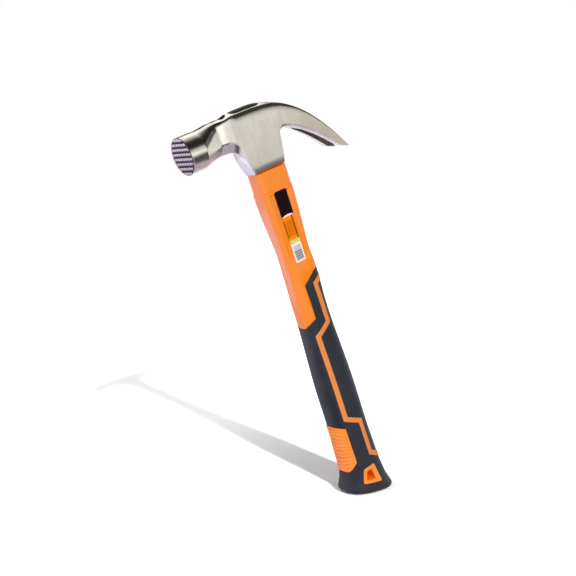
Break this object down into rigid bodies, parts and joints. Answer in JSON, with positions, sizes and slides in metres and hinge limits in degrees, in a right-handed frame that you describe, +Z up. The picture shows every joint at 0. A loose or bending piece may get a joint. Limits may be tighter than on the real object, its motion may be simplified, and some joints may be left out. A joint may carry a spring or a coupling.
{
  "type": "claw hammer",
  "caption": "Curved claw hammer: forged steel head with a milled round face and split claw, on a glass-fibre handle with an orange jacket, a soft black grip, a ribbed pad and a hang hole.",
  "frame": {"origin": "middle of the sloping flat butt face, on the axis of the handle", "axes": "+Z runs up the handle from the butt to the head, -X is the way the striking face looks, +X the way the claws point, -Y the side with the label"},
  "size_m": [0.1357, 0.0338, 0.3375],
  "materials": {
    "forged_steel": "satin ground, upright grain on the cheeks",
    "magnet": "plated",
    "epoxy": "poured, dark",
    "glass_fibre": "pultruded",
    "orange_plastic": "satin",
    "soft_black": "matte",
    "soft_orange": "matte",
    "label_film": "printed in plain blocks, no text"
  },
  "bodies": {
    "root": {"hammer_head": "forged_steel", "nail_magnet": "magnet", "eye_resin": "epoxy", "fibreglass_core": "glass_fibre", "handle_jacket": "orange_plastic", "grip_sleeve": "soft_black", "stripe_inlay": "soft_orange", "rib_pad": "soft_orange", "hang_eyelet": "soft_orange", "side_label": "label_film"}
  },
  "joints": []
}
